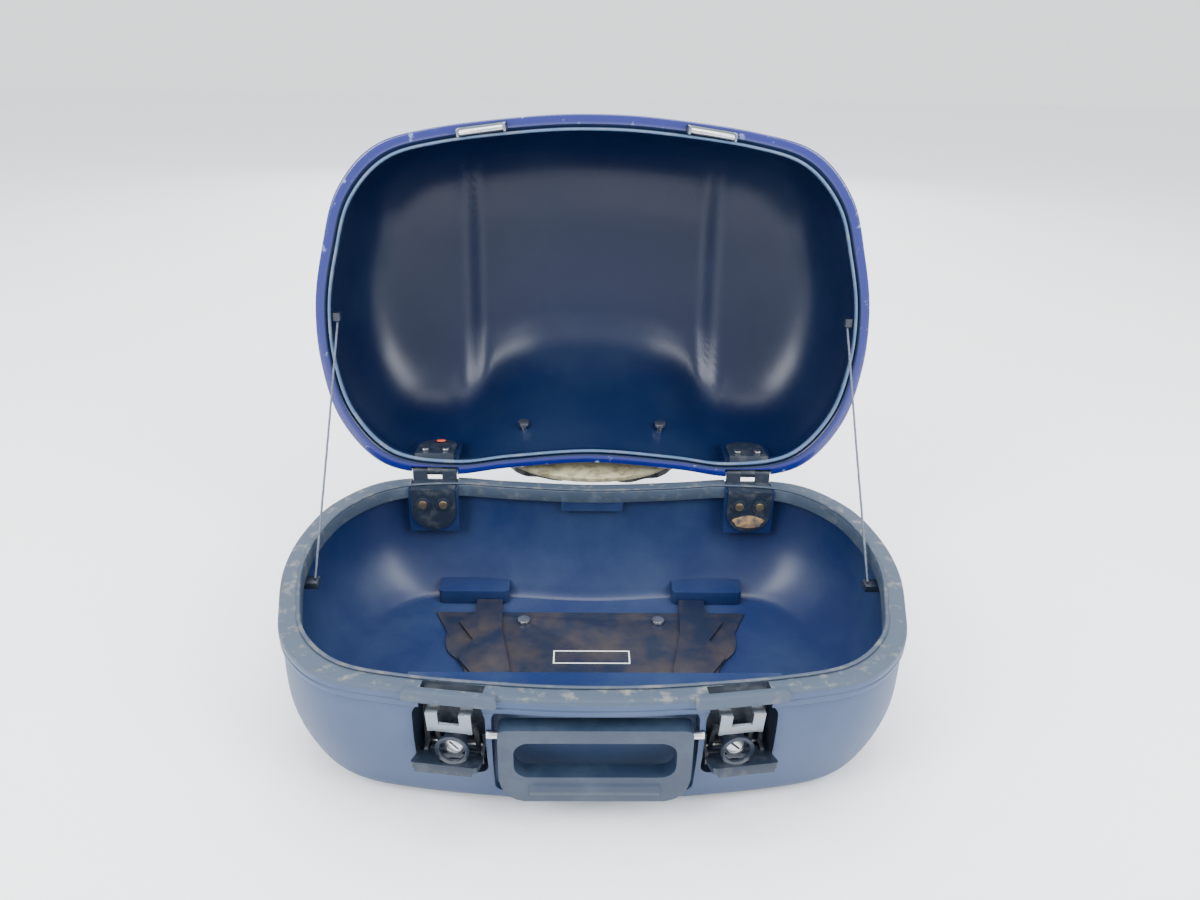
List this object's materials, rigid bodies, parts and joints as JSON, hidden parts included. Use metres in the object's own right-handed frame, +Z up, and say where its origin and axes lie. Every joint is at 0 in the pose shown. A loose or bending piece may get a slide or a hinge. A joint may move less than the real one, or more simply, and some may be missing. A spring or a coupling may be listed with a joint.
{
  "type": "motorcycle top case",
  "caption": "Hard motorcycle top case with a hinged lid, key latches, a folding carrying handle, lid cords, a backrest pad and a mounting plate.",
  "frame": {"origin": "on the flat underside of the mounting plate, on the middle plane between the two latches, about midway front to back of the tub", "axes": "+X to the right seen from the latches, +Y from the latches towards the lid hinges, +Z up out of the mounting plate"},
  "size_m": [0.5218, 0.536, 0.4631],
  "materials": {
    "tub": "matt slate-blue moulded plastic, dusty",
    "lid_paint": "glossy royal blue paint outside, dark navy inside",
    "dark_plastic": "satin near-black plastic",
    "carrier": "cast mounting plate, black coated",
    "rubber": "dusty grey rubber",
    "steel": "bright plated steel",
    "brass": "dulled brass-plated rivet",
    "vinyl": "black grained vinyl over foam",
    "board": "raw tan hardboard",
    "cord": "thin grey braided cord"
  },
  "bodies": {
    "case": {"tub_shell": "tub", "flange_seal": "rubber", "floor_panel": "dark_plastic", "mounting_plate": "carrier", "floor_bolt_left": "steel", "floor_block_left": "dark_plastic", "case_hinge_leaf_left": "dark_plastic", "hinge_pin_left": "steel", "case_rivet_left_1": "brass", "case_rivet_left_2": "brass", "latch_bracket_left": "dark_plastic", "lever_pin_left": "steel", "claw_pin_left": "steel", "handle_pin_left": "steel", "cord_clip_left": "dark_plastic", "lid_cord_left": "cord", "floor_bolt_right": "steel", "floor_block_right": "dark_plastic", "case_hinge_leaf_right": "dark_plastic", "hinge_pin_right": "steel", "case_rivet_right_1": "brass", "case_rivet_right_2": "brass", "latch_bracket_right": "dark_plastic", "lever_pin_right": "steel", "claw_pin_right": "steel", "handle_pin_right": "steel", "cord_clip_right": "dark_plastic", "lid_cord_right": "cord"},
    "lid": {"lid_shell": "lid_paint", "lid_bead": "rubber", "backrest_board": "board", "backrest_cushion": "vinyl", "lid_hinge_leaf_left": "dark_plastic", "lid_rivet_left_1": "steel", "lid_rivet_left_2": "steel", "lid_keeper_left": "steel", "keeper_roller_left": "steel", "lid_cord_clip_left": "dark_plastic", "backrest_bolt_left": "steel", "lid_hinge_leaf_right": "dark_plastic", "lid_rivet_right_1": "steel", "lid_rivet_right_2": "steel", "lid_keeper_right": "steel", "keeper_roller_right": "steel", "lid_cord_clip_right": "dark_plastic", "backrest_bolt_right": "steel"},
    "handle": {"carry_handle": "tub"},
    "lever_left": {"latch_lever_left": "dark_plastic"},
    "claw_left": {"latch_claw_left": "steel"},
    "lock_left": {"lock_cylinder_left": "steel"},
    "lever_right": {"latch_lever_right": "dark_plastic"},
    "claw_right": {"latch_claw_right": "steel"},
    "lock_right": {"lock_cylinder_right": "steel"}
  },
  "joints": [
    {"name": "lid_hinge", "type": "hinge", "parent": "case", "child": "lid", "pos_m": [0, 0.167, 0.1293], "axis": [1, 0, 0], "range_deg": [0, 97.2], "deforming": ["lid_cord_left", "lid_cord_right"]},
    {"name": "handle_fold", "type": "hinge", "parent": "case", "child": "handle", "pos_m": [0, -0.164, 0.088], "axis": [-1, 0, 0], "range_deg": [0, 100]},
    {"name": "lever_left_pivot", "type": "hinge", "parent": "case", "child": "lever_left", "pos_m": [-0.10005, -0.14814, 0.0573], "axis": [-0.9903, 0.1392, 0], "range_deg": [0, 58]},
    {"name": "claw_left_pivot", "type": "hinge", "parent": "case", "child": "claw_left", "pos_m": [-0.09908, -0.1412, 0.0602], "axis": [-0.9903, 0.1392, 0], "range_deg": [0, 10]},
    {"name": "lock_left_turn", "type": "hinge", "parent": "case", "child": "lock_left", "pos_m": [-0.10133, -0.15725, 0.072], "axis": [0.1392, 0.9903, 0], "range_deg": [-45, 45]},
    {"name": "lever_right_pivot", "type": "hinge", "parent": "case", "child": "lever_right", "pos_m": [0.10005, -0.14814, 0.0573], "axis": [-0.9903, -0.1392, 0], "range_deg": [0, 58]},
    {"name": "claw_right_pivot", "type": "hinge", "parent": "case", "child": "claw_right", "pos_m": [0.09908, -0.1412, 0.0602], "axis": [-0.9903, -0.1392, 0], "range_deg": [0, 10]},
    {"name": "lock_right_turn", "type": "hinge", "parent": "case", "child": "lock_right", "pos_m": [0.10133, -0.15725, 0.072], "axis": [-0.1392, 0.9903, 0], "range_deg": [-45, 45]}
  ],
  "couplings": [
    {"joint": "claw_left_pivot", "follows": "lever_left_pivot", "ratio": 0.17241},
    {"joint": "claw_right_pivot", "follows": "lever_right_pivot", "ratio": 0.17241}
  ]
}
